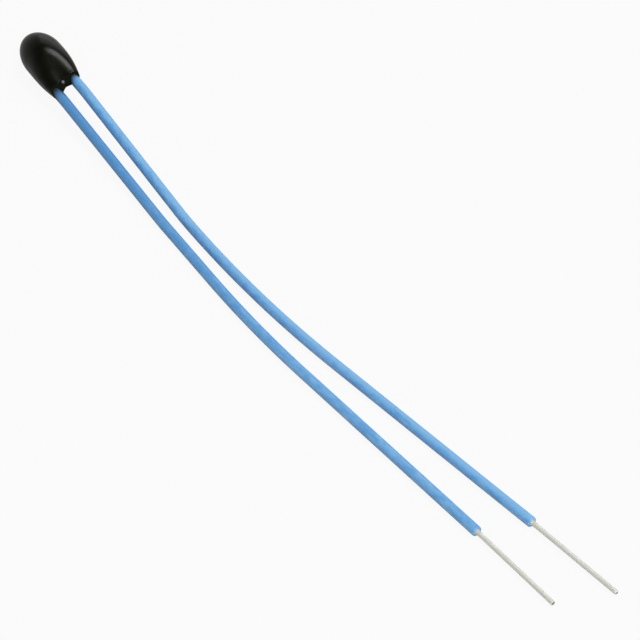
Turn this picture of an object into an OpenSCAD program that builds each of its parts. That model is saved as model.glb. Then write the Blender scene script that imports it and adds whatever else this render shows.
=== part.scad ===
// Bead thermistor: a ceramic chip soldered between two insulated lead wires and
// dipped in black epoxy. It lies on a level surface, as it would come to rest.
// Sizes are in millimetres. The origin is on that surface, under the middle of
// the bead, +X points from the bead towards the tips of the leads, and +Z is up.

/* [Bead] */
// Length of the dipped bead along its leads
bead_l = 4.4; // [3.8:0.1:6]
// Largest diameter of the bead
bead_d = 2.3; // [2.1:0.05:3.2]
// Length of the egg-shaped round end
round_end_l = 1.7; // [1.2:0.1:2.2]
// Turn of the bead about its length, as it came to rest
bead_roll = 16; // [0:1:30]
// Thickness of the coat round the leads at the bead's open end
coat_wall = 0.05; // [0.03:0.01:0.12]
// Depth of the saddle in the coat between the leads
saddle_depth = 0.12; // [0.04:0.01:0.2]
// Depth of the groove along the coat, above and below the saddle
groove_depth = 0.1; // [0:0.01:0.15]

/* [Leads] */
// Distance between the leads where they leave the bead
lead_pitch = 1.18; // [1.1:0.02:1.6]
// Sideways offset of the leads from the middle of the bead
lead_shift = -0.13; // [-0.2:0.01:0.2]
// Diameter of the wire
wire_d = 0.25; // [0.2:0.01:0.3]
// Outer diameter of the insulation
sleeve_d = 0.56; // [0.46:0.02:0.7]
// Length of the insulation held inside the bead
sleeve_grip_l = 0.9; // [0.5:0.05:1.2]
// Length of the insulation outside the bead on the left lead
sleeve_left_l = 39.2; // [34:0.1:80]
// Length of the insulation outside the bead on the right lead
sleeve_right_l = 38.1; // [34:0.1:80]
// Length of bare wire at the tip of the left lead
tip_left_l = 6.1; // [3:0.1:12]
// Length of bare wire at the tip of the right lead
tip_right_l = 5.9; // [3:0.1:12]

/* [Sensing chip] */
// Side of the square ceramic chip
chip_w = 0.8; // [0.6:0.05:1]
// Thickness of the chip between its electrodes
chip_t = 0.5; // [0.3:0.05:0.6]
// Distance from the bead's round end to the middle of the chip
chip_back = 1.5; // [1.2:0.05:1.7]
// Bare border of the chip round each silver electrode
electrode_inset = 0.05; // [0:0.01:0.08]
// Thickness of each electrode
electrode_t = 0.03; // [0.01:0.01:0.05]
// Length of the solder along each wire
solder_l = 0.5; // [0.3:0.05:0.6]
// Largest diameter of the solder round each wire
solder_d = 0.44; // [0.38:0.02:0.6]
// Thickness of the solder between each wire and its electrode
solder_film = 0.02; // [0.01:0.005:0.03]

/* [Fit] */
// Clearance round a piece that is held inside another
fit_gap = 0.005; // [0.002:0.001:0.01]

/* [Hidden] */
$fa = 1;
$fs = 0.02;

// Sides that a lead can bend towards, as angles round its own run
DOWN = 0;
LEFT = 90;
RIGHT = -90;

// Route of each lead outside the bead: straight out, a gentle step down to the
// surface, a run along it, one wide bend to the left, and straight to the tip
exit_run = 0.3;
drop_r = 10;
drop_run = 9.6;
floor_run_left = 0.3;
floor_run_right = 4.8;
turn_r = 75;
turn_left = 9.6;
turn_right = 6.3;
// Slight bend of each bare tip to the right, just past the end of its insulation
strip_run = 0.2;
strip_r = 8;
strip_turn = 1;

// Step of each wire inside the bead, from the chip out to its insulation
set_r = 0.4;
set_run = 0.16;
// Wire that stands out past the solder
wire_tail = 0.1;
// Bends are drawn slimmer than the straights by the seam, and reach into them by the lap
seam = 0.001;
lap = 0.02;

// Rings of the dipped bead and the points round each of them
section_points = 48;
cap_rings = 12;
body_rings = 16;
// Squareness of the section at the open end, where 2 is an ellipse
rim_power = 4;
// How late the sides draw in towards the open end
side_power = 2.2;

bead_r = bead_d / 2;
wire_r = wire_d / 2;
sleeve_r = sleeve_d / 2;
solder_r = solder_d / 2;
bore_r = wire_r + fit_gap;
lead_half = lead_pitch / 2;
rim_x = bead_l / 2;
waist_x = round_end_l - bead_l / 2;
chip_x = chip_back - bead_l / 2;
sleeve_x = rim_x - sleeve_grip_l;
wire_x = chip_x - solder_l / 2 - wire_tail;
electrode_w = chip_w - 2 * electrode_inset;
electrode_half = chip_t / 2 + electrode_t;
wire_half = electrode_half + solder_film + bore_r;
rim_half_w = lead_half + sleeve_r + coat_wall;
rim_half_t = sleeve_r + coat_wall;
groove_half_w = lead_half / 2;
saddle_half_w = lead_half - sleeve_r - coat_wall;
saddle_r = (saddle_half_w ^ 2 + saddle_depth ^ 2) / (2 * saddle_depth);

// Angle of two equal and opposite bends that shift a run sideways by offset
function step_angle(offset, radius, run) =
    acos((2 * radius - offset) / sqrt(4 * radius ^ 2 + run ^ 2)) - atan(run / (2 * radius));

// Length along the run that such a step takes up
function step_reach(angle, radius, run) = 2 * radius * sin(angle) + run * cos(angle);

// A route is a list of bends, each [straight run before it, angle, radius, side]
function step_bends(before, offset, radius, run, side) =
    let (angle = step_angle(offset, radius, run))
    [[before, angle, radius, side], [run, angle, radius, side + 180]];

function arc_l(angle, radius) = angle * radius * PI / 180;

function route_l(bends, i = 0) =
    i == len(bends) ? 0 : bends[i][0] + arc_l(bends[i][1], bends[i][2]) + route_l(bends, i + 1);

// Height of a run that lies across from the bead's middle by the given distance
function run_z(across) = bead_r + across * sin(bead_roll);

// Bends of a lead outside the bead, after a first straight run
function outer_bends(before, across, floor_run, turn) = concat(
    step_bends(before, run_z(across) - sleeve_r, drop_r, drop_run, DOWN),
    [[floor_run, turn, turn_r, LEFT]]
);

// The wire's step lies midway between the chip and the insulation
set_angle = step_angle(lead_half - wire_half, set_r, set_run);
set_reach = step_reach(set_angle, set_r, set_run);
set_x = (chip_x + chip_w / 2 + sleeve_x - set_reach) / 2;
wire_before = set_x - wire_x;
wire_after = rim_x - set_x - set_reach;

// Bends of a wire inside the bead, from the chip out to the insulation
function inner_bends(side) =
    step_bends(wire_before, lead_half - wire_half, set_r, set_run, side + bead_roll);

// Straight round bar or tube that starts at the origin and runs along +Z
module straight(length, outer_r, inner_r = 0) {
    difference() {
        cylinder(h = length, r = outer_r);
        if (inner_r > 0)
            translate([0, 0, -lap])
                cylinder(h = length + 2 * lap, r = inner_r);
    }
}

// Bend that leaves the origin along +Z and turns towards +X
module bend(angle, radius, outer_r, inner_r) {
    reach = lap / radius * 180 / PI;
    translate([radius, 0, 0])
        rotate([90, 0, 180])
            rotate_extrude(angle = angle + 2 * reach, start = -reach)
                translate([radius, 0])
                    difference() {
                        circle(r = outer_r - seam);
                        if (inner_r > 0)
                            circle(r = inner_r + seam);
                    }
}

// Bar or tube along a route, ending in a straight run
module along(bends, last_run, outer_r, inner_r = 0, i = 0) {
    if (i == len(bends)) {
        straight(last_run, outer_r, inner_r);
    } else {
        run = bends[i][0];
        angle = bends[i][1];
        radius = bends[i][2];
        side = bends[i][3];
        straight(run, outer_r, inner_r);
        translate([0, 0, run])
            rotate([0, 0, side]) {
                bend(angle, radius, outer_r, inner_r);
                translate([radius * (1 - cos(angle)), 0, radius * sin(angle)])
                    rotate([0, angle, 0])
                        rotate([0, 0, -side])
                            along(bends, last_run, outer_r, inner_r, i + 1);
            }
    }
}

// Start of a run along +X, at a distance across the turned bead from its middle
module on_run(x, across) {
    translate([x, across * cos(bead_roll), run_z(across)])
        rotate([0, 90, 0])
            children();
}

// Frame of the bead, turned about its length as it came to rest
module in_bead(across = 0) {
    translate([0, 0, bead_r])
        rotate([bead_roll, 0, 0])
            translate([0, across, 0])
                children();
}

module sleeve(side, floor_run, turn, length) {
    across = lead_shift + side * lead_half;
    bends = outer_bends(sleeve_grip_l + exit_run, across, floor_run, turn);
    on_run(sleeve_x, across)
        along(bends, sleeve_grip_l + length - route_l(bends), sleeve_r, bore_r);
}

module lead_wire(side, floor_run, turn, length, tip_l) {
    inner = inner_bends(side > 0 ? LEFT : RIGHT);
    outer = outer_bends(wire_after + exit_run, lead_shift + side * lead_half, floor_run, turn);
    covered_run = wire_after + length - route_l(outer);
    strip = [[covered_run + strip_run, strip_turn, strip_r, RIGHT]];
    on_run(wire_x, lead_shift + side * wire_half)
        along(concat(inner, outer, strip), tip_l - strip_run - arc_l(strip_turn, strip_r), wire_r);
}

// Room in the bead for the wire inside it
module wire_pocket(side) {
    bends = inner_bends(side > 0 ? LEFT : RIGHT);
    on_run(wire_x - fit_gap, lead_shift + side * wire_half)
        straight(wire_before, bore_r);
    on_run(wire_x, lead_shift + side * wire_half)
        along(bends, wire_after, bore_r);
}

// Square plate across the chip's middle, with room round it
module plate(across, width, thickness, room = 0) {
    in_bead(lead_shift + across)
        translate([chip_x, 0, 0])
            cube([width + 2 * room, thickness + 2 * room, width + 2 * room], center = true);
}

// Spindle of solder round a wire, which thins to half the film at its two ends
module spindle(side, room = 0) {
    rise = solder_r - bore_r - solder_film / 2;
    arc_r = ((solder_l / 2) ^ 2 + rise ^ 2) / (2 * rise);
    in_bead(lead_shift + side * wire_half)
        translate([chip_x, 0, 0])
            rotate([0, 90, 0])
                rotate_extrude()
                    intersection() {
                        translate([solder_r - arc_r, 0])
                            circle(r = arc_r + room);
                        translate([0, -solder_l / 2 - room])
                            square([solder_d, solder_l + 2 * room]);
                    }
}

module solder(side) {
    difference() {
        spindle(side);
        plate(0, chip_w * 2, 2 * electrode_half);
        on_run(wire_x - wire_tail, lead_shift + side * wire_half)
            straight(solder_l + 4 * wire_tail, bore_r);
    }
}

module electrode(side) {
    plate(side * (electrode_half - electrode_t / 2), electrode_w, electrode_t);
}

function smooth(s) = s * s * (3 - 2 * s);
function signed_power(value, power) = sign(value) * abs(value) ^ power;

// Ring of points across the bead: power rounds or squares it, groove dents its middle
function section(x, across, half_w, half_t, power, groove) = [
    for (k = [0:section_points - 1])
        let (
            angle = 360 * k / section_points,
            y = half_w * signed_power(cos(angle), 2 / power),
            z = half_t * signed_power(sin(angle), 2 / power),
            dent = groove / rim_half_t * exp(-(y / groove_half_w) ^ 2)
        )
        [x, y + across, z * (1 - dent)]
];

function cap_section(angle) =
    section(waist_x - round_end_l * cos(angle), 0, bead_r * sin(angle), bead_r * sin(angle), 2, 0);

// Ring between the waist, where s is 0, and the open end, where s is 1
function body_section(s) = section(
    waist_x + s * (rim_x - waist_x),
    lead_shift * smooth(s),
    bead_r + (rim_half_w - bead_r) * s ^ side_power,
    bead_r + (rim_half_t - bead_r) * smooth(s),
    2 + (rim_power - 2) * smooth(s),
    groove_depth * s ^ rim_power
);

// Form of the dip, from the egg-shaped end to a flat collar round both leads
module dipped_form() {
    rings = concat(
        [for (i = [1:cap_rings]) cap_section(90 * i / cap_rings)],
        [for (i = [1:body_rings]) body_section(i / body_rings)]
    );
    n = section_points;
    last = len(rings) - 1;
    pole = len(rings) * n;
    points = concat([for (ring = rings) each ring], [[-bead_l / 2, 0, 0]]);
    walls = [
        for (i = [0:last - 1], k = [0:n - 1])
            let (a = i * n + k, b = i * n + (k + 1) % n)
            each [[a, b, b + n], [a, b + n, a + n]]
    ];
    tip = [for (k = [0:n - 1]) [pole, (k + 1) % n, k]];
    rim = [[for (k = [0:n - 1]) last * n + k]];
    polyhedron(points, concat(walls, tip, rim));
}

// Round cut between the leads that leaves the coat's edge hollow
module saddle() {
    in_bead(lead_shift)
        translate([rim_x - saddle_depth + saddle_r, 0, -bead_r])
            cylinder(h = bead_d, r = saddle_r);
}

module epoxy_bead() {
    color([0.06, 0.06, 0.05])
        difference() {
            in_bead()
                dipped_form();
            saddle();
            for (side = [-1, 1]) {
                on_run(sleeve_x - fit_gap, lead_shift + side * lead_half)
                    straight(bead_l, sleeve_r + fit_gap);
                wire_pocket(side);
                spindle(side, fit_gap);
                plate(side * (electrode_half - electrode_t / 2), electrode_w, electrode_t, fit_gap);
            }
            plate(0, chip_w, chip_t, fit_gap);
        }
}

module sensor_chip() {
    color([0.25, 0.23, 0.22])
        plate(0, chip_w, chip_t);
}

module electrode_left() {
    color([0.82, 0.82, 0.8])
        electrode(1);
}

module electrode_right() {
    color([0.82, 0.82, 0.8])
        electrode(-1);
}

module solder_left() {
    color([0.7, 0.7, 0.72])
        solder(1);
}

module solder_right() {
    color([0.7, 0.7, 0.72])
        solder(-1);
}

module lead_wire_left() {
    color([0.83, 0.83, 0.79])
        lead_wire(1, floor_run_left, turn_left, sleeve_left_l, tip_left_l);
}

module lead_wire_right() {
    color([0.83, 0.83, 0.79])
        lead_wire(-1, floor_run_right, turn_right, sleeve_right_l, tip_right_l);
}

module sleeve_left() {
    color([0.36, 0.6, 0.83])
        sleeve(1, floor_run_left, turn_left, sleeve_left_l);
}

module sleeve_right() {
    color([0.36, 0.6, 0.83])
        sleeve(-1, floor_run_right, turn_right, sleeve_right_l);
}

epoxy_bead();
sensor_chip();
electrode_left();
electrode_right();
solder_left();
solder_right();
lead_wire_left();
lead_wire_right();
sleeve_left();
sleeve_right();
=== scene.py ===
"""Bead thermistor: a black epoxy bead on two blue insulated leads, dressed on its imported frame."""

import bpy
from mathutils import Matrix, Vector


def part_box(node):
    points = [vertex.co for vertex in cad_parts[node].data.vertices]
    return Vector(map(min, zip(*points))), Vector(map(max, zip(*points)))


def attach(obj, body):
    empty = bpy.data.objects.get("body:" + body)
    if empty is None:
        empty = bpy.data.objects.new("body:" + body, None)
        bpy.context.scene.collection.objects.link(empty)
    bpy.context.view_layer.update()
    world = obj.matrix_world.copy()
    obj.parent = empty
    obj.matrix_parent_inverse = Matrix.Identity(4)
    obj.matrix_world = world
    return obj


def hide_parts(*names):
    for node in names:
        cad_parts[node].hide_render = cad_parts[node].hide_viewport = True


bl_info = {
    "name": "Bead Thermistor",
    "version": (1, 0, 0),
    "blender": (4, 5, 0),
    "location": "View3D > Sidebar > Thermistor",
    "description": "Dresses a bead thermistor: dipped coat, insulated leads, bare tips and studio",
    "category": "Object",
}

import math

import bmesh
import bpy
from bpy.props import FloatProperty, FloatVectorProperty, PointerProperty
from bpy.types import Operator, Panel, PropertyGroup
from mathutils import Matrix, Vector, noise

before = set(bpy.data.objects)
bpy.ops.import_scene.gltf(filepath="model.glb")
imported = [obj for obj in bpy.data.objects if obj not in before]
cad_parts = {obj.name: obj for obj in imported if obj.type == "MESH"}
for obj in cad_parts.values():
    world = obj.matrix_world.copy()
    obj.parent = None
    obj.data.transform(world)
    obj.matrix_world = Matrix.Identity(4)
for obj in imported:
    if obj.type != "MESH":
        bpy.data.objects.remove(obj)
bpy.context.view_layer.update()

# Sides that a lead can bend towards, as angles round its own run
DOWN = 0.0
LEFT = math.radians(90)
UP = math.radians(180)
RIGHT = math.radians(-90)

# The two leads: name, place in the pairs of sizes, and side of the bead
LEADS = (("left", 0, 1), ("right", 1, -1))

# The softboxes, as their settings are named
LAMPS = ("key", "top", "back", "fill")

# Fineness of the drawn leads: sides of a ring, fewest steps of a bend, and longest steps in
# metres along a route, near the bead and along the bare tip
SLEEVE_SIDES = 48
WIRE_SIDES = 32
BEND_STEPS = 4
ROUTE_PACE = 0.0004
BEAD_PACE = 0.00004
TIP_PACE = 0.0001

# Cut end of the insulation in metres: its rounding, the dish in its face, and the pale collar
# with its rings, each as a share of the collar's length and a height over the bore
CUT_ROUND = 0.00006
DISH_DEPTH = 0.00001
DISH_WIDTH = 0.00003
COLLAR_HEIGHT = 0.000012
COLLAR_MARGIN = 0.00001
COLLAR_RINGS = ((0.25, 0.000006), (0.35, 0.000003), (0.4, 0.0))

# Waves of the wire's wear in a metre, and half-width of the coat's sliver round a lead in radians
WEAR_WAVES = 4000
SLIVER_SPREAD = 0.66

# Slack in metres: for picking points by place, for welding a lead's ends and the bead's pole
PICK_SLACK = 1e-7
END_WELD = 0.000002
POLE_WELD = 1e-8

# Gap between the floor and the part in metres, width of the camera's sensor in millimetres,
# millimetres in a metre, and the studio's white and the floor's grey
FLOOR_GAP = 0.00002
SENSOR_MM = 36
MM = 1000
WHITE = (1, 1, 1, 1)
FLOOR_GREY = (0.55, 0.55, 0.55, 1)


def length(name, description, default):
    """A length in metres."""
    return FloatProperty(
        name=name, description=description, default=default, unit="LENGTH", precision=6
    )


def length_pair(name, description, default):
    """A length in metres for the left and for the right lead."""
    return FloatVectorProperty(
        name=name, description=description, default=default, size=2, unit="LENGTH", precision=6
    )


def angle(name, description, degrees):
    """An angle, given in degrees."""
    return FloatProperty(
        name=name, description=description, default=math.radians(degrees), unit="ROTATION"
    )


def colour(name, description, default):
    """A linear colour."""
    return FloatVectorProperty(
        name=name, description=description, default=default, size=3, subtype="COLOR", min=0, max=1
    )


def share(name, description, default):
    """A number from 0 to 1."""
    return FloatProperty(
        name=name, description=description, default=default, subtype="FACTOR", min=0, max=1
    )


def share_pair(name, description, default):
    """A number from 0 to 1 for the left and for the right lead."""
    return FloatVectorProperty(
        name=name, description=description, default=default, size=2, min=0, max=1
    )


def plain(name, description, default):
    """A number without a unit, such as a power or a lamp's radiance."""
    return FloatProperty(name=name, description=description, default=default)


def point(name, description, default):
    """A place in metres."""
    return FloatVectorProperty(
        name=name,
        description=description,
        default=default,
        size=3,
        subtype="XYZ",
        unit="LENGTH",
        precision=6,
    )


class BeadSizes(PropertyGroup):
    """Form of the dipped epoxy bead."""

    length: length("Length", "Length of the bead along its leads", 0.0044)
    diameter: length("Diameter", "Largest diameter of the bead", 0.0023)
    round_end: length("Round end", "Length of the egg-shaped end", 0.0017)
    roll: angle("Roll", "Turn of the bead about its length", 16)
    coat_wall: length("Coat", "Thickness of the coat above and below the leads", 0.000045)
    side_wall: length("Side coat", "Thickness of the coat beside the leads", 0.000012)
    saddle: length("Saddle", "Depth of the saddle between the leads", 0.00015)
    groove: length("Groove", "Depth of the groove along the coat", 0.00006)
    nose: length("Nose", "Run of the coat's rounded end between the leads", 0.00027)
    recess: length_pair(
        "Recess", "How far the coat stops short of the bead's end on each lead", (0.00035, 0.00025)
    )
    sliver: length_pair(
        "Sliver", "Reach of the coat along the outer side of each lead", (0.0001, 0.00042)
    )
    meniscus: length_pair(
        "Meniscus", "Reach of the coat along the inner side of each lead", (0.00022, 0.00028)
    )
    feather: length("Feather", "Run of the coat where it thins out on the leads", 0.00006)
    film: length_pair(
        "Film", "Run over which the last film of the coat fades out on each lead", (0.0005, 0.0008)
    )
    # Painted highlight: place and radius of a pale spot painted in the coat between the leads,
    # standing in for a glint of the lamps
    painted_highlight: point(
        "Painted highlight",
        "Middle of the pale bubble in the coat between the leads",
        (0.001936, -0.000206, 0.001332),
    )
    painted_highlight_r: length("Bubble radius", "Radius of that bubble", 0.00012)
    rim_power: plain("Rim power", "Squareness of the open end", 4)
    side_power: plain("Side power", "How late the sides draw in", 2.6)
    shift_power: plain("Shift power", "How late the coat follows the leads", 2.2)


class LeadSizes(PropertyGroup):
    """Sizes and routes of the two leads."""

    pitch: length("Pitch", "Distance between the leads at the bead", 0.00118)
    shift: length("Shift", "Sideways offset of the leads from the middle of the bead", -0.00013)
    wire_d: length("Wire", "Diameter of the wire", 0.00025)
    insulation_d: length("Insulation", "Outer diameter of the insulation", 0.00056)
    fit_gap: length("Fit", "Clearance round a piece that is held inside another", 0.000005)
    grip: length("Grip", "Length of the insulation held inside the bead", 0.0009)
    insulated: length_pair("Insulated", "Length of insulation outside the bead", (0.0392, 0.0381))
    bare: length_pair("Bare", "Length of bare wire at the tip", (0.0061, 0.0059))
    exit_run: length("Exit run", "Straight run out of the bead", 0.0003)
    drop_r: length("Drop radius", "Radius of the two bends down to the surface", 0.010)
    drop_run: length("Drop run", "Straight run between those bends", 0.0096)
    floor_run: length_pair("Floor run", "Straight run along the surface", (0.0003, 0.0048))
    turn_r: length("Turn radius", "Radius of the wide bend to the left", 0.075)
    turn: FloatVectorProperty(
        name="Turn",
        description="Angle of the wide bend to the left",
        default=(math.radians(9.6), math.radians(6.3)),
        size=2,
        unit="ROTATION",
    )
    strip_run: length("Strip run", "Bare run before the tip's slight bend", 0.0002)
    strip_r: length("Strip radius", "Radius of the tip's slight bend", 0.008)
    strip_turn: angle("Strip turn", "Angle of the tip's slight bend", 1)
    # Painted sheen: share by which the upper left side of each lead is painted paler, as if lit
    painted_sheen: share_pair("Painted sheen", "How much paler the upper left side of each lead is", (1.0, 0.0))
    # Painted shade: share and run of the deeper blue painted on each lead near the bead, where the
    # bead shades it
    painted_shade: share_pair("Deep", "How much deeper the blue of each lead is at the bead", (0.3, 0.6))
    painted_shade_run: length("Deep run", "Run over which the deeper blue fades out", 0.03)
    cone: length("Cone", "Length of the pale collar that stripping leaves on the wire", 0.00025)
    blunt: length_pair("Blunt", "Rounding of the wire's cut tip", (0.00007, 0.00003))
    wear: length("Wear", "Unevenness of the bare wire", 0.000002)
    chip_half: length("Chip half", "Distance of each wire from the middle of the chip", 0.00043)
    set_r: length("Set radius", "Radius of the wire's step inside the bead", 0.0004)
    set_run: length("Set run", "Straight run within that step", 0.00016)


class Finishes(PropertyGroup):
    """Colours of the visible surfaces."""

    epoxy: colour("Epoxy", "Black of the dipped epoxy", (0.0016, 0.0017, 0.0004))
    epoxy_pale: colour("Pale epoxy", "Olive of the epoxy's thin clouds", (0.004, 0.0042, 0.001))
    # Pale grey of the painted highlight in the coat between the leads
    painted_highlight: colour("Painted highlight", "Pale grey of the bubble in the epoxy", (0.17, 0.175, 0.18))
    insulation: colour("Insulation", "Blue of the insulation", (0.11, 0.345, 0.70))
    # Blue of the paler mottles, also used for the painted sheen on the upper left side
    insulation_mottle_and_sheen: colour("Pale insulation", "Blue of its paler mottles", (0.2, 0.46, 0.78))
    # Deeper blue of the painted shade near the bead
    insulation_painted_shade: colour("Deep insulation", "Deeper blue near the bead", (0.07, 0.25, 0.55))
    stripped: colour("Stripped", "Stretched insulation at the wire's root", (0.64, 0.63, 0.52))
    wire: colour("Wire", "Silvery face of the wire", (0.82, 0.825, 0.755))
    wire_dull: colour("Dull wire", "Duller drawn lines of the wire", (0.745, 0.75, 0.68))
    wire_cut: colour("Cut wire", "Dark face of the wire's cut tip", (0.34, 0.32, 0.28))


class StageSizes(PropertyGroup):
    """Camera, floor and lights."""

    azimuth: angle("Azimuth", "Camera's turn round the part", 58.084)
    elevation: angle("Elevation", "Camera's height above the horizon", 45)
    distance: length("Distance", "Distance of the camera from its target", 0.25)
    target: point("Target", "Point in the middle of the picture", (0.023796, 0.00239, 0.0005))
    lens: FloatProperty(
        name="Lens", description="Focal length in millimetres", default=274.9, unit="CAMERA"
    )
    floor: length("Floor", "Side of the square floor", 3.0)
    floor_white: share("Floor white", "Share of plain white in the floor for the camera", 0.92)
    floor_gloss: share("Floor gloss", "Share of plain white in the floor for gloss and glass", 0.1)
    horizon: share("Horizon", "Level of the light from all round near the ground", 0.55)
    zenith: share("Zenith", "Level of the light from straight above", 0.1)
    key: plain("Key", "Radiance of the key light in front, above the tips", 2.1)
    key_turn: angle("Key turn", "Compass direction of the key light from +X towards +Y", 6)
    key_lift: angle("Key lift", "Height of the key light above the horizon", 45)
    key_size: length("Key size", "Side of the key light", 0.72)
    top: plain("Top", "Radiance of the light overhead", 8.0)
    top_turn: angle("Top turn", "Compass direction of the top light from +X towards +Y", 102)
    top_lift: angle("Top lift", "Height of the top light above the horizon", 77.5)
    top_size: length("Top size", "Side of the top light", 0.26)
    back: plain("Back", "Radiance of the light behind the bead", 0.7)
    back_turn: angle("Back turn", "Compass direction of the back light from +X towards +Y", 135)
    back_lift: angle("Back lift", "Height of the back light above the horizon", 30)
    back_size: length("Back size", "Side of the back light", 0.6)
    fill: plain("Fill", "Radiance of the fill light below the camera", 2.2)
    fill_turn: angle("Fill turn", "Compass direction of the fill light from +X towards +Y", -35)
    fill_lift: angle("Fill lift", "Height of the fill light above the horizon", 20)
    fill_size: length("Fill size", "Side of the fill light", 0.4)
    lamp_distance: length("Lamp distance", "Distance of the lights from the camera's target", 0.75)


class ThermistorSettings(PropertyGroup):
    """Everything that can be set on the part and its studio."""

    bead: PointerProperty(type=BeadSizes, name="Bead", description="Form of the dipped bead")
    lead: PointerProperty(type=LeadSizes, name="Lead", description="Sizes and routes of the leads")
    finish: PointerProperty(type=Finishes, name="Finish", description="Colours of the surfaces")
    stage: PointerProperty(type=StageSizes, name="Stage", description="Camera, floor and lights")


def settings():
    """What is set on the scene."""
    return bpy.context.scene.thermistor


class Signal:
    """A shader socket that takes part in Python arithmetic."""

    def __init__(self, paint, socket):
        self.paint = paint
        self.socket = socket

    def math(self, operation, first, second):
        """Adds the Math node of one step."""
        return self.paint.node("ShaderNodeMath", {"operation": operation}, {0: first, 1: second})

    def __add__(self, other):
        return self.math("ADD", self, other)

    def __radd__(self, other):
        return self.math("ADD", other, self)

    def __sub__(self, other):
        return self.math("SUBTRACT", self, other)

    def __rsub__(self, other):
        return self.math("SUBTRACT", other, self)

    def __mul__(self, other):
        return self.math("MULTIPLY", self, other)

    def __rmul__(self, other):
        return self.math("MULTIPLY", other, self)


class Paint:
    """A node tree, and the one way in which nodes are added to it."""

    def __init__(self, owner):
        owner.use_nodes = True
        self.owner = owner
        self.tree = owner.node_tree

    def feed(self, socket, value):
        """Links a signal to a socket, or sets a plain value on it."""
        if isinstance(value, Signal):
            self.tree.links.new(value.socket, socket)
        else:
            socket.default_value = value

    def node(self, kind, options=None, sockets=None, output=0):
        """Adds a node of any kind and gives one of its outputs."""
        made = self.tree.nodes.new(kind)
        for name, value in (options or {}).items():
            setattr(made, name, value)
        for name, value in (sockets or {}).items():
            self.feed(made.inputs[name], value)
        return Signal(self, made.outputs[output])

    def shade(self, sockets):
        """Sets or links sockets of the material's Principled shader."""
        shader = self.tree.nodes["Principled BSDF"]
        for name, value in sockets.items():
            self.feed(shader.inputs[name], value)

    def mix(self, factor, first, second):
        """Colour between two colours."""
        return self.node(
            "ShaderNodeMix",
            {"data_type": "RGBA"},
            {0: factor, 6: rgba(first), 7: rgba(second)},
            2,
        )

    def stretch(self, vector, scale):
        """Coordinates with a scale of their own on each axis."""
        return self.node("ShaderNodeVectorMath", {"operation": "MULTIPLY"}, {0: vector, 1: scale})

    def clouds(self, vector, scale, detail=2):
        """Soft noise from 0 to 1, at a scale of spots per millimetre."""
        return self.node(
            "ShaderNodeTexNoise", {}, {"Vector": vector, "Scale": scale, "Detail": detail}
        )

    def ramp(self, value, low, high):
        """0 below low, 1 above high, smooth between."""
        return self.node(
            "ShaderNodeMapRange",
            {"interpolation_type": "SMOOTHSTEP"},
            {"Value": value, "From Min": low, "From Max": high},
        )

    def bump(self, height, distance):
        """Normal of a fine relief, its depth in metres."""
        return self.node(
            "ShaderNodeBump", {}, {"Height": height, "Distance": distance, "Strength": 1.0}
        )

    def object_mm(self):
        """Object coordinates in millimetres."""
        place = self.node("ShaderNodeTexCoord", output="Object")
        return self.stretch(place, (MM, MM, MM))

    def attribute(self, name, output="Fac"):
        """What the mesh keeps at its vertices under a name."""
        return self.node("ShaderNodeAttribute", {"attribute_name": name}, output=output)

    def lay_mm(self):
        """Place on the straightened lead in millimetres: across, across and along."""
        return self.stretch(self.attribute("lay", "Vector"), (MM, MM, MM))


def rgba(value):
    """A colour with its opacity, or a signal as it is."""
    return value if isinstance(value, Signal) else (*value, 1.0)


def new_paint(name):
    """A new material that takes nodes."""
    return Paint(bpy.data.materials.new(name))


def epoxy_paint():
    """Glossy dipped epoxy: black, with thin olive clouds, a slow ripple and one pale painted
    highlight.
    """
    bead, finish = settings().bead, settings().finish
    paint = new_paint("Epoxy.Black")
    place = paint.object_mm()
    cloud = paint.clouds(place, scale=1.4, detail=3)
    grain = paint.clouds(place, scale=14)
    ripple = paint.clouds(place, scale=2.5, detail=1)
    black = paint.mix(paint.ramp(cloud, 0.35, 0.75), finish.epoxy, finish.epoxy_pale)
    middle = tuple(MM * value for value in bead.painted_highlight)
    away = paint.node(
        "ShaderNodeVectorMath", {"operation": "DISTANCE"}, {0: place, 1: middle}, "Value"
    )
    # Painted highlight: the coat's black turns pale grey round this point, in place of a glint of
    # the lamps
    painted_highlight = 1 - paint.ramp(away, 0.4 * MM * bead.painted_highlight_r, MM * bead.painted_highlight_r)
    matte = paint.ramp(paint.attribute("edge"), 0.4, 0.6)
    paint.shade({
        "Base Color": paint.mix(painted_highlight, black, finish.painted_highlight),
        "Roughness": 0.18 + 0.06 * cloud + 0.04 * grain + 0.77 * matte,
        "Normal": paint.bump(ripple + 0.05 * grain, distance=0.000008),
        "IOR": 1.5,
        "Specular IOR Level": 0.22,
    })
    return paint.owner


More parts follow.
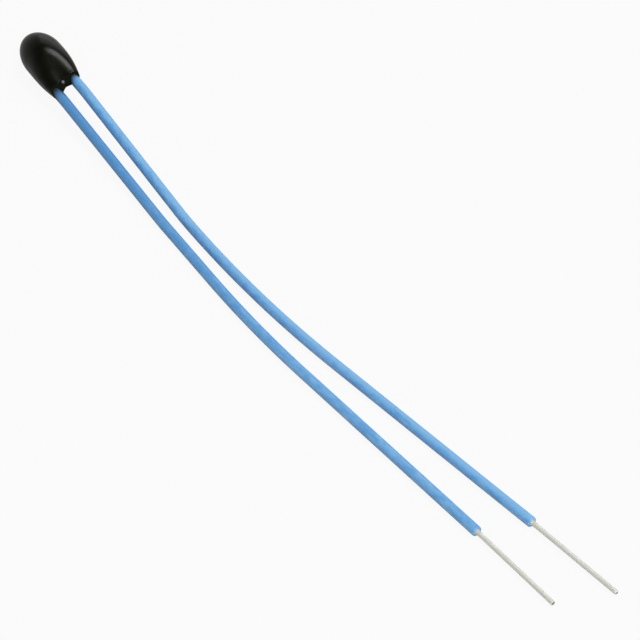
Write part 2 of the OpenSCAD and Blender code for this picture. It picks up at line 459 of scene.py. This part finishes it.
def insulation_paint():
    """Satin blue insulation: faint mottles along its length, painted sheen and shade, pale where
    stripped.
    """
    finish = settings().finish
    paint = new_paint("Insulation.Blue")
    place = paint.lay_mm()
    mottle = paint.clouds(paint.stretch(place, (1, 1, 0.35)), scale=5, detail=3)
    drift = paint.clouds(place, scale=0.35)
    grain = paint.clouds(place, scale=22)
    # Painted light: this attribute pales the upper left side as painted sheen and deepens the blue
    # near the bead as painted shade
    tone = paint.attribute("tone")
    # Paler blue from real mottles and drift, and from the painted sheen
    mottle_and_sheen = paint.ramp(0.6 * mottle + 0.4 * drift + 0.25 * tone, 0.35, 0.65)
    blue = paint.mix(mottle_and_sheen, finish.insulation, finish.insulation_mottle_and_sheen)
    # Painted shade: the blue is painted deeper near the bead
    painted_shade = paint.mix(1 - paint.ramp(tone, -1.0, 0.0), blue, finish.insulation_painted_shade)
    wetted = paint.mix(paint.attribute("wetted"), painted_shade, finish.epoxy)
    paint.shade({
        "Base Color": paint.mix(paint.attribute("stripped"), wetted, finish.stripped),
        "Roughness": 0.34 + 0.14 * mottle,
        "Normal": paint.bump(0.7 * mottle + 0.2 * grain, distance=0.000003),
        "IOR": 1.5,
        "Specular IOR Level": 0.5,
    })
    return paint.owner


def wire_paint():
    """Silvered wire, drawn in fine lines along its length and slightly dulled."""
    finish = settings().finish
    paint = new_paint("Wire.Silvered")
    place = paint.lay_mm()
    lines = paint.clouds(paint.stretch(place, (1, 1, 0.04)), scale=30, detail=3)
    dull = paint.clouds(paint.stretch(place, (1, 1, 0.3)), scale=6, detail=3)
    worn = paint.ramp(0.5 * lines + 0.5 * dull, 0.35, 0.65)
    drawn = paint.mix(worn, finish.wire, finish.wire_dull)
    paint.shade({
        "Base Color": paint.mix(paint.attribute("cut"), drawn, finish.wire_cut),
        "Metallic": 0.5,
        "Roughness": 0.5 + 0.16 * dull,
        "Normal": paint.bump(0.6 * lines + 0.4 * dull, distance=0.0000008),
    })
    return paint.owner


def ceramic_paint():
    """Fine-grained dark oxide ceramic."""
    paint = new_paint("Chip.Ceramic")
    grain = paint.clouds(paint.object_mm(), scale=30, detail=3)
    paint.shade({
        "Base Color": paint.mix(grain, (0.03, 0.027, 0.025), (0.075, 0.068, 0.062)),
        "Roughness": 0.6 + 0.2 * grain,
        "Normal": paint.bump(grain, distance=0.000004),
    })
    return paint.owner


def silver_paint(name, bright, dark, roughness):
    """Fired silver or solder, with a fine frosty grain."""
    paint = new_paint(name)
    grain = paint.clouds(paint.object_mm(), scale=40, detail=3)
    paint.shade({
        "Base Color": paint.mix(grain, bright, dark),
        "Metallic": 1.0,
        "Roughness": roughness + 0.2 * grain,
        "Normal": paint.bump(grain, distance=0.000003),
    })
    return paint.owner


def new_piece(name, bm, material, sharp_degrees=40):
    """Makes a mesh object of a finished bmesh, riding on the part's one body."""
    bmesh.ops.recalc_face_normals(bm, faces=bm.faces)
    mesh = bpy.data.meshes.new(name)
    bm.to_mesh(mesh)
    bm.free()
    mesh.shade_smooth()
    mesh.set_sharp_from_angle(angle=math.radians(sharp_degrees))
    mesh.materials.append(material)
    piece = bpy.data.objects.new(name, mesh)
    bpy.context.scene.collection.objects.link(piece)
    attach(piece, "root")
    return piece


def verts_of(geometry):
    """Vertices among what a bmesh operator made."""
    return [item for item in geometry if isinstance(item, bmesh.types.BMVert)]


def edges_of(geometry):
    """Edges among what a bmesh operator made."""
    return [item for item in geometry if isinstance(item, bmesh.types.BMEdge)]


def ring_edges(verts):
    """Edges that join these vertices to each other, in a steady order."""
    chosen = set(verts)
    touching = dict.fromkeys(edge for vert in verts for edge in vert.link_edges)
    return [edge for edge in touching if set(edge.verts) <= chosen]


def ring_verts(edges):
    """Vertices of these edges, each once and in a steady order."""
    return list(dict.fromkeys(vert for edge in edges for vert in edge.verts))


def smooth(value):
    """Slow near 0 and near 1, fast between."""
    return value * value * (3 - 2 * value)


def faded(value):
    """1 up to 0, 0 from 1 on, smooth between."""
    return 1 - smooth(min(max(value, 0.0), 1.0))


def signed_power(value, power):
    """Power of a number's size, with the number's sign."""
    return math.copysign(abs(value) ** power, value)


def step_angle(offset, radius, run):
    """Angle of two equal and opposite bends that shift a run sideways by offset."""
    reach = math.hypot(2 * radius, run)
    return math.acos((2 * radius - offset) / reach) - math.atan(run / (2 * radius))


def step_reach(turn, radius, run):
    """Length along the run that such a step takes up."""
    return 2 * radius * math.sin(turn) + run * math.cos(turn)


def lead_across(side):
    """Distance of a lead from the bead's middle, across the turned bead."""
    lead = settings().lead
    return lead.shift + side * lead.pitch / 2


def run_height(across):
    """Height of a run that lies across from the bead's middle by the given distance."""
    bead = settings().bead
    return bead.diameter / 2 + across * math.sin(bead.roll)


def on_run(x, across):
    """Frame of a run along +X: its own Z runs along the lead, and its own X points down."""
    bead = settings().bead
    place = Vector((x, across * math.cos(bead.roll), run_height(across)))
    return Matrix.Translation(place) @ Matrix.Rotation(math.radians(90), 4, "Y")


def coat_reach(outward, index):
    """How far the coat goes past the bead's end on a lead.

    Outward is 1 on the side away from the other lead and -1 on the side towards it.
    """
    bead = settings().bead
    turn = math.acos(max(-1.0, min(1.0, outward)))
    return bead.sliver[index] * math.exp(-((turn / SLIVER_SPREAD) ** 2)) - bead.recess[index]


def mouth_reach(outward, index):
    """How far the coat's thin edge goes past the bead's end on a lead."""
    bead = settings().bead
    inward = max(0.0, min(1.0, -outward))
    return coat_reach(outward, index) + bead.feather + bead.meniscus[index] * smooth(inward)


def outer_bends(before, index, side):
    """Bends outside the bead, each (straight run before it, angle, radius, side)."""
    lead = settings().lead
    drop = run_height(lead_across(side)) - lead.insulation_d / 2
    turn = step_angle(drop, lead.drop_r, lead.drop_run)
    return [
        (before, turn, lead.drop_r, DOWN),
        (lead.drop_run, turn, lead.drop_r, UP),
        (lead.floor_run[index], lead.turn[index], lead.turn_r, LEFT),
    ]


def route_length(bends):
    """Length of these bends with the runs before them."""
    return sum(run + turn * radius for run, turn, radius, _ in bends)


class Sweep:
    """Rings drawn along a route. Each vertex keeps its place on the straightened lead as "lay"."""

    def __init__(self, bm, place, along, radius, segments):
        self.bm = bm
        self.place = place.copy()
        self.points = [place.translation.copy()]
        layers = bm.verts.layers.float_vector
        self.lay = layers.get("lay") or layers.new("lay")
        made = bmesh.ops.create_circle(bm, segments=segments, radius=radius, matrix=place)
        self.radius = radius
        self.first = ring_edges(made["verts"])
        self.last = self.first
        inverse = place.inverted()
        for vert in made["verts"]:
            local = inverse @ vert.co
            vert[self.lay] = (local.x, local.y, along)

    def _grown(self, geometry, distance):
        """Keeps the new ring, moves its lay on, and notes the route's next point."""
        self.last = [edge for edge in edges_of(geometry) if edge.is_boundary]
        for vert in ring_verts(self.last):
            vert[self.lay] += Vector((0, 0, distance))
        self.points.append(self.place.translation.copy())

    def straight(self, run, pace=ROUTE_PACE):
        """A straight run, in steps no longer than the pace."""
        steps = max(1, math.ceil(run / pace))
        stride = self.place.to_3x3().col[2] * (run / steps)
        for _ in range(steps):
            grown = bmesh.ops.extrude_edge_only(self.bm, edges=self.last)["geom"]
            bmesh.ops.translate(self.bm, vec=stride, verts=verts_of(grown))
            self.place = Matrix.Translation(stride) @ self.place
            self._grown(grown, run / steps)

    def bend(self, turn, radius, side):
        """A bend by an angle towards one side."""
        steps = max(BEND_STEPS, math.ceil(turn * radius / ROUTE_PACE))
        basis = self.place.to_3x3()
        heading = basis.col[2]
        towards = basis @ Vector((math.cos(side), math.sin(side), 0))
        centre = self.place.translation + towards * radius
        axis = heading.cross(towards)
        about = Matrix.Translation(centre)
        turned = about @ Matrix.Rotation(turn / steps, 4, axis) @ about.inverted()
        for _ in range(steps):
            grown = bmesh.ops.spin(
                self.bm, geom=self.last, cent=centre, axis=axis, angle=turn / steps, steps=1
            )["geom_last"]
            self.place = turned @ self.place
            self._grown(grown, turn * radius / steps)

    def follow(self, bends, last_run, first_pace=ROUTE_PACE):
        """All the bends with the runs before them, and the run after the last one."""
        pace = first_pace
        for run, turn, radius, side in bends:
            self.straight(run, pace)
            self.bend(turn, radius, side)
            pace = ROUTE_PACE
        self.straight(last_run)

    def draw(self, run, radius):
        """One more ring, further along and of another radius."""
        grown = bmesh.ops.extrude_edge_only(self.bm, edges=self.last)["geom"]
        ring = verts_of(grown)
        stride = self.place.to_3x3().col[2] * run
        scale = radius / self.radius
        bmesh.ops.scale(self.bm, vec=(scale, scale, 1), space=self.place.inverted(), verts=ring)
        bmesh.ops.translate(self.bm, vec=stride, verts=ring)
        for vert in ring:
            vert[self.lay] = (vert[self.lay].x * scale, vert[self.lay].y * scale, vert[self.lay].z)
        self.radius = radius
        self.place = Matrix.Translation(stride) @ self.place
        self._grown(grown, run)

    def round_off(self, rounding):
        """Rounds the end over by a quarter turn, in three rings."""
        full = self.radius
        for corner in (30, 60, 90):
            turn = math.radians(corner)
            before = math.radians(corner - 30)
            run = rounding * (math.sin(turn) - math.sin(before))
            self.draw(run, full - rounding * (1 - math.cos(turn)))


def insulation_piece(name, index, side, material):
    """Tube of insulation with a rounded cut end and the pale collar that stripping leaves."""
    bead, lead = settings().bead, settings().lead
    bm = bmesh.new()
    bore_r = lead.wire_d / 2 + lead.fit_gap
    insulated = lead.insulated[index]
    start = on_run(bead.length / 2 - lead.grip, lead_across(side))
    bends = outer_bends(lead.grip + lead.exit_run, index, side)
    last_run = lead.grip + insulated - route_length(bends)
    outer = Sweep(bm, start, -lead.grip, bore_r, SLEEVE_SIDES)
    outer.draw(0.0, lead.insulation_d / 2)
    outer.follow(bends, last_run - CUT_ROUND, BEAD_PACE)
    path = [p for p in outer.points if p.x >= bead.length / 2 - PICK_SLACK]
    outer.round_off(CUT_ROUND)
    path.append(outer.points[-1])
    face_r = bore_r + COLLAR_HEIGHT
    outer.draw(-DISH_DEPTH, face_r + DISH_WIDTH)
    outer.draw(DISH_DEPTH, face_r)
    for part, height in COLLAR_RINGS:
        outer.draw(lead.cone * part, bore_r + height)
    inner = Sweep(bm, start, -lead.grip, bore_r, SLEEVE_SIDES)
    inner.follow(bends, last_run)
    inner.straight(lead.cone, lead.cone)
    ends = ring_verts(outer.first + outer.last + inner.first + inner.last)
    bmesh.ops.remove_doubles(bm, verts=ends, dist=END_WELD)
    stripped = bm.verts.layers.float.new("stripped")
    wetted = bm.verts.layers.float.new("wetted")
    # Painted sheen and painted shade, kept at each vertex
    tone = bm.verts.layers.float.new("tone")
    for vert in bm.verts:
        down, left, along = vert[outer.lay]
        across = math.hypot(down, left)
        outward = side * (left * math.cos(bead.roll) - down * math.sin(bead.roll)) / across
        past = along - mouth_reach(outward, index)
        collared = along > insulated - CUT_ROUND / 2 and across < face_r + COLLAR_MARGIN
        vert[stripped] = 1.0 if collared else 0.0
        vert[wetted] = faded(past / bead.film[index])
        # Painted sheen: the upper left side of the lead is painted paler
        upper = max(0.0, left - down) / across * math.sqrt(0.5)
        # Painted shade: the blue is painted deeper near the bead, fading along the lead
        vert[tone] = lead.painted_sheen[index] * upper - lead.painted_shade[index] * faded(past / lead.painted_shade_run)
    return new_piece("Insulation." + name.title(), bm, material), path


def wire_piece(name, index, side, material):
    """Solid wire from the chip, through its insulation, to a cut tip."""
    bead, lead = settings().bead, settings().lead
    wire_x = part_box("lead_wire_" + name)[0].x
    chip_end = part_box("sensor_chip")[1].x
    offset = lead.pitch / 2 - lead.chip_half
    turn = step_angle(offset, lead.set_r, lead.set_run)
    reach = step_reach(turn, lead.set_r, lead.set_run)
    sleeve_x = bead.length / 2 - lead.grip
    set_x = (chip_end + sleeve_x - reach) / 2
    after = bead.length / 2 - set_x - reach
    outward = (LEFT if side > 0 else RIGHT) + bead.roll
    inner = [
        (set_x - wire_x, turn, lead.set_r, outward),
        (lead.set_run, turn, lead.set_r, outward + UP),
    ]
    outer = outer_bends(after + lead.exit_run, index, side)
    covered = after + lead.insulated[index] - route_length(outer)
    tip_run = lead.bare[index] - lead.strip_run - lead.strip_turn * lead.strip_r
    bm = bmesh.new()
    start = on_run(wire_x, lead.shift + side * lead.chip_half)
    begin = -route_length(outer) - covered - route_length(inner) + lead.insulated[index]
    wire = Sweep(bm, start, begin, lead.wire_d / 2, WIRE_SIDES)
    wire.follow(inner + outer, covered + lead.strip_run)
    wire.bend(lead.strip_turn, lead.strip_r, RIGHT)
    wire.straight(tip_run - lead.blunt[index], TIP_PACE)
    bm.normal_update()
    for vert in bm.verts:
        if vert[wire.lay].z > lead.insulated[index] + lead.cone:
            vert.co += vert.normal * lead.wear * noise.noise(vert[wire.lay] * WEAR_WAVES)
    wire.round_off(lead.blunt[index])
    cut = bm.verts.layers.float.new("cut")
    for vert in ring_verts(wire.last):
        vert[cut] = 1.0
    bmesh.ops.edgeloop_fill(bm, edges=wire.first)
    bmesh.ops.edgeloop_fill(bm, edges=wire.last)
    return new_piece("Wire." + name.title(), bm, material)


def coat_section(x, turn, bead, lead):
    """Point of the coat at a place along the plain bead and an angle round it."""
    half_length = bead.length / 2
    radius = bead.diameter / 2
    waist = bead.round_end - half_length
    insulation_r = lead.insulation_d / 2
    rim_w = lead.pitch / 2 + insulation_r + bead.side_wall
    rim_t = insulation_r + bead.coat_wall
    rim_y = rim_w * signed_power(math.cos(turn), 2 / bead.rim_power)
    rim_z = rim_t * signed_power(math.sin(turn), 2 / bead.rim_power)
    from_lead = abs(rim_y) - lead.pitch / 2
    web = lead.pitch / 2 - insulation_r - bead.coat_wall
    outward = from_lead / math.hypot(from_lead, rim_z)
    leftward = smooth(min(max((rim_y / web + 1) / 2, 0.0), 1.0))
    reach = coat_reach(outward, 0) * leftward + coat_reach(outward, 1) * (1 - leftward)
    reach -= bead.saddle * max(0.0, 1 - (rim_y / web) ** 2)
    x += reach * (x - waist) / (half_length - waist)
    s = min((x - waist) / (half_length - waist), 1.0)
    power = 2 + (bead.rim_power - 2) * smooth(s)
    half_w = radius + (rim_w - radius) * s ** bead.side_power
    half_t = radius + (rim_t - radius) * smooth(s)
    y = half_w * signed_power(math.cos(turn), 2 / power)
    z = half_t * signed_power(math.sin(turn), 2 / power)
    dent = bead.groove * s ** bead.rim_power / rim_t * math.exp(-((y / (lead.pitch / 4)) ** 2))
    return Vector((x, y + lead.shift * s ** bead.shift_power, z * (1 - dent)))


def coat_piece(name, material):
    """Dipped coat: an egg-shaped end that draws in to a collar, bored for both leads."""
    bead, lead = settings().bead, settings().lead
    half_length = bead.length / 2
    radius = bead.diameter / 2
    waist = bead.round_end - half_length
    bm = bmesh.new()
    edge = bm.verts.layers.float.new("edge")
    cap_steps, body_steps, web_steps, turns = 20, 30, 16, 96
    profile = []
    for i in range(cap_steps + 1):
        turn = math.radians(90) * i / cap_steps
        profile.append((waist - bead.round_end * math.cos(turn), radius * math.sin(turn)))
    for i in range(1, body_steps + 1):
        profile.append((waist + (half_length - waist) * i / body_steps, radius))
    chain = [bm.verts.new((x, r, 0)) for x, r in profile]
    links = [bm.edges.new(pair) for pair in zip(chain, chain[1:])]
    bmesh.ops.spin(
        bm,
        geom=chain + links,
        cent=(0, 0, 0),
        axis=(1, 0, 0),
        angle=2 * math.pi,
        steps=turns,
        use_merge=True,
    )
    bmesh.ops.remove_doubles(bm, verts=bm.verts, dist=POLE_WELD)
    rim = {vert: vert.co.y for vert in bm.verts if vert.co.x > half_length - PICK_SLACK}
    body = set(bm.verts)
    for vert in body:
        if vert.co.x > waist:
            vert.co = coat_section(vert.co.x, math.atan2(vert.co.z, vert.co.y), bead, lead)
    rim_edges = ring_edges(rim)
    ends = sorted(rim, key=lambda vert: abs(rim[vert]))[:2]
    between = []
    for i in range(1, web_steps):
        turn = math.pi * i / web_steps
        place = ends[0].co.lerp(ends[1].co, (1 - math.cos(turn)) / 2)
        place.x += bead.nose * math.sin(turn)
        place.y += (lead.shift - place.y) * math.sin(turn)
        between.append(bm.verts.new(place))
    web = [ends[0], *between, ends[1]]
    web_edges = [bm.edges.new(pair) for pair in zip(web, web[1:])]
    bore_r = lead.insulation_d / 2 + lead.fit_gap
    for _, index, side in LEADS:
        outline = [e for e in rim_edges if sum(rim[v] * side for v in e.verts) > 0] + web_edges
        centre = Vector((half_length, lead_across(side), 0))
        facing = Matrix.Translation(centre) @ Matrix.Rotation(math.radians(90), 4, "Y")
        mouth = bmesh.ops.create_circle(
            bm, segments=len(outline), radius=bore_r, matrix=facing
        )["verts"]
        for vert in mouth:
            vert.co.x += mouth_reach((vert.co.y - centre.y) * side / bore_r, index)
        mouth_edges = ring_edges(mouth)
        rungs = bmesh.ops.bridge_loops(bm, edges=outline + mouth_edges)["edges"]
        bmesh.ops.subdivide_edgering(bm, edges=rungs, interp_mode="LINEAR", cuts=3)
        bore = bmesh.ops.extrude_edge_only(bm, edges=mouth_edges)["geom"]
        for vert in verts_of(bore):
            vert.co.x = half_length - lead.grip - lead.fit_gap
        bmesh.ops.edgeloop_fill(bm, edges=[e for e in edges_of(bore) if e.is_boundary])
    bmesh.ops.smooth_vert(bm, verts=between, factor=0.5, use_axis_x=True)
    for vert in bm.verts:
        vert[edge] = 0.0 if vert in body and vert not in rim else 1.0
    bmesh.ops.transform(
        bm,
        matrix=Matrix.Translation((0, 0, radius)) @ Matrix.Rotation(bead.roll, 4, "X"),
        verts=bm.verts,
    )
    return new_piece(name, bm, material, sharp_degrees=100)


class THERMISTOR_OT_stage(Operator):
    """Set the camera, the floor and the lights"""

    bl_idname = "thermistor.stage"
    bl_label = "Stage"

    def execute(self, context):
        stage = settings().stage
        scene = context.scene
        scene.view_settings.view_transform = "Standard"
        target = Vector(stage.target)
        self.camera(scene, stage, target)
        self.floor(scene, stage)
        self.sky(scene, stage)
        for name in LAMPS:
            turn = getattr(stage, name + "_turn")
            lift = getattr(stage, name + "_lift")
            size = getattr(stage, name + "_size")
            away = Vector((
                math.cos(turn) * math.cos(lift),
                math.sin(turn) * math.cos(lift),
                math.sin(lift),
            ))
            offset = away * stage.lamp_distance
            self.softbox(scene, name.title(), target, offset, size, getattr(stage, name))
        return {"FINISHED"}

    def camera(self, scene, stage, target):
        """Camera that looks at the target, turned and lifted as in the photo."""
        data = bpy.data.cameras.new("Camera")
        data.lens = stage.lens
        data.sensor_width = SENSOR_MM
        data.clip_start = 0.01
        camera = bpy.data.objects.new("Camera", data)
        flat = math.cos(stage.elevation)
        back = Vector((
            math.sin(stage.azimuth) * flat,
            -math.cos(stage.azimuth) * flat,
            math.sin(stage.elevation),
        ))
        camera.location = target + back * stage.distance
        camera.rotation_euler = (-back).to_track_quat("-Z", "Y").to_euler()
        scene.collection.objects.link(camera)
        scene.camera = camera

    def floor(self, scene, stage):
        """White floor that takes a soft shadow."""
        bm = bmesh.new()
        bmesh.ops.create_grid(bm, x_segments=1, y_segments=1, size=stage.floor / 2)
        bmesh.ops.translate(bm, vec=(0, 0, -FLOOR_GAP), verts=bm.verts)
        mesh = bpy.data.meshes.new("Floor")
        bm.to_mesh(mesh)
        bm.free()
        floor = bpy.data.objects.new("Floor", mesh)
        scene.collection.objects.link(floor)
        paint = new_paint("Floor.White")
        paint.shade({"Base Color": FLOOR_GREY, "Roughness": 0.9, "Specular IOR Level": 0.0})
        matt = Signal(paint, paint.tree.nodes["Principled BSDF"].outputs[0])
        white = paint.node("ShaderNodeEmission", {}, {"Color": WHITE, "Strength": 1.0})
        seen = self.seen(paint, stage)
        mixed = paint.node("ShaderNodeMixShader", {}, {0: seen, 1: matt, 2: white})
        paint.feed(paint.tree.nodes["Material Output"].inputs["Surface"], mixed)
        mesh.materials.append(paint.owner)

    def seen(self, paint, stage):
        """Share of plain white for rays to the camera, in gloss and through glass."""
        rays = [
            paint.node("ShaderNodeLightPath", output=name)
            for name in ("Is Camera Ray", "Is Glossy Ray", "Is Transmission Ray")
        ]
        return stage.floor_white * rays[0] + stage.floor_gloss * (rays[1] + rays[2])

    def sky(self, scene, stage):
        """Light from all round, brighter near the ground, and plain white for the camera."""
        world = bpy.data.worlds.new("Studio")
        scene.world = world
        paint = Paint(world)
        camera_ray = paint.node("ShaderNodeLightPath", output="Is Camera Ray")
        facing = paint.node("ShaderNodeTexCoord", output="Object")
        lift = paint.ramp(paint.node("ShaderNodeSeparateXYZ", {}, {0: facing}, "Z"), 0.0, 1.0)
        level = stage.horizon + (stage.zenith - stage.horizon) * lift
        light = paint.node("ShaderNodeBackground", {}, {"Color": WHITE, "Strength": level})
        white = paint.node("ShaderNodeBackground", {}, {"Color": WHITE, "Strength": 1.0})
        mixed = paint.node("ShaderNodeMixShader", {}, {0: camera_ray, 1: light, 2: white})
        paint.feed(paint.tree.nodes["World Output"].inputs["Surface"], mixed)

    def softbox(self, scene, name, target, offset, size, radiance):
        """Square lamp that faces the target."""
        data = bpy.data.lights.new(name, "AREA")
        data.shape = "SQUARE"
        data.size = size
        data.energy = math.pi * radiance * size * size
        lamp = bpy.data.objects.new(name, data)
        lamp.location = target + offset
        lamp.rotation_euler = (-offset).to_track_quat("-Z", "Y").to_euler()
        scene.collection.objects.link(lamp)


class THERMISTOR_OT_leads(Operator):
    """Draw both leads: the insulation and the wire inside it"""

    bl_idname = "thermistor.leads"
    bl_label = "Leads"

    def execute(self, context):
        blue = insulation_paint()
        silver = wire_paint()
        for name, index, side in LEADS:
            wire = wire_piece(name, index, side, silver)
            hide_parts("lead_wire_" + name)
            sleeve, path = insulation_piece(name, index, side, blue)
            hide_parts("sleeve_" + name)
        return {"FINISHED"}


class THERMISTOR_OT_bead(Operator):
    """Dip the bead"""

    bl_idname = "thermistor.bead"
    bl_label = "Bead"

    def execute(self, context):
        coat = coat_piece("Coat", epoxy_paint())
        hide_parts("epoxy_bead")
        return {"FINISHED"}


class THERMISTOR_OT_chip(Operator):
    """Finish the chip, its electrodes and the solder inside the bead"""

    bl_idname = "thermistor.chip"
    bl_label = "Chip"

    def execute(self, context):
        ceramic = ceramic_paint()
        silver = silver_paint(
            "Electrode.Silver", bright=(0.8, 0.79, 0.76), dark=(0.6, 0.59, 0.56), roughness=0.4
        )
        tin = silver_paint(
            "Solder.Tin", bright=(0.7, 0.7, 0.71), dark=(0.45, 0.45, 0.47), roughness=0.25
        )
        finishes = {
            "sensor_chip": ceramic,
            "electrode_left": silver,
            "electrode_right": silver,
            "solder_left": tin,
            "solder_right": tin,
        }
        for node, material in finishes.items():
            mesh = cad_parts[node].data
            mesh.materials.clear()
            mesh.materials.append(material)
        return {"FINISHED"}


class THERMISTOR_PT_sidebar(Panel):
    """Sizes, finishes and steps of the bead thermistor"""

    bl_label = "Bead Thermistor"
    bl_idname = "THERMISTOR_PT_sidebar"
    bl_space_type = "VIEW_3D"
    bl_region_type = "UI"
    bl_category = "Thermistor"

    def draw(self, context):
        chosen = context.scene.thermistor
        for heading in ("bead", "lead", "finish", "stage"):
            group = getattr(chosen, heading)
            box = self.layout.box()
            box.label(text=heading.title())
            for name in group.__annotations__:
                box.prop(group, name)
        for step in STEPS:
            self.layout.operator(step.bl_idname)


STEPS = (THERMISTOR_OT_stage, THERMISTOR_OT_leads, THERMISTOR_OT_bead, THERMISTOR_OT_chip)
GROUPS = (BeadSizes, LeadSizes, Finishes, StageSizes, ThermistorSettings)
CLASSES = (*GROUPS, *STEPS, THERMISTOR_PT_sidebar)


def register():
    for item in CLASSES:
        bpy.utils.register_class(item)
    bpy.types.Scene.thermistor = PointerProperty(
        type=ThermistorSettings, name="Thermistor", description="Settings of the bead thermistor"
    )


def unregister():
    del bpy.types.Scene.thermistor
    for item in reversed(CLASSES):
        bpy.utils.unregister_class(item)


def main():
    register()
    bpy.ops.thermistor.stage()
    bpy.ops.thermistor.leads()
    bpy.ops.thermistor.bead()
    bpy.ops.thermistor.chip()


if __name__ == "__main__":
    main()
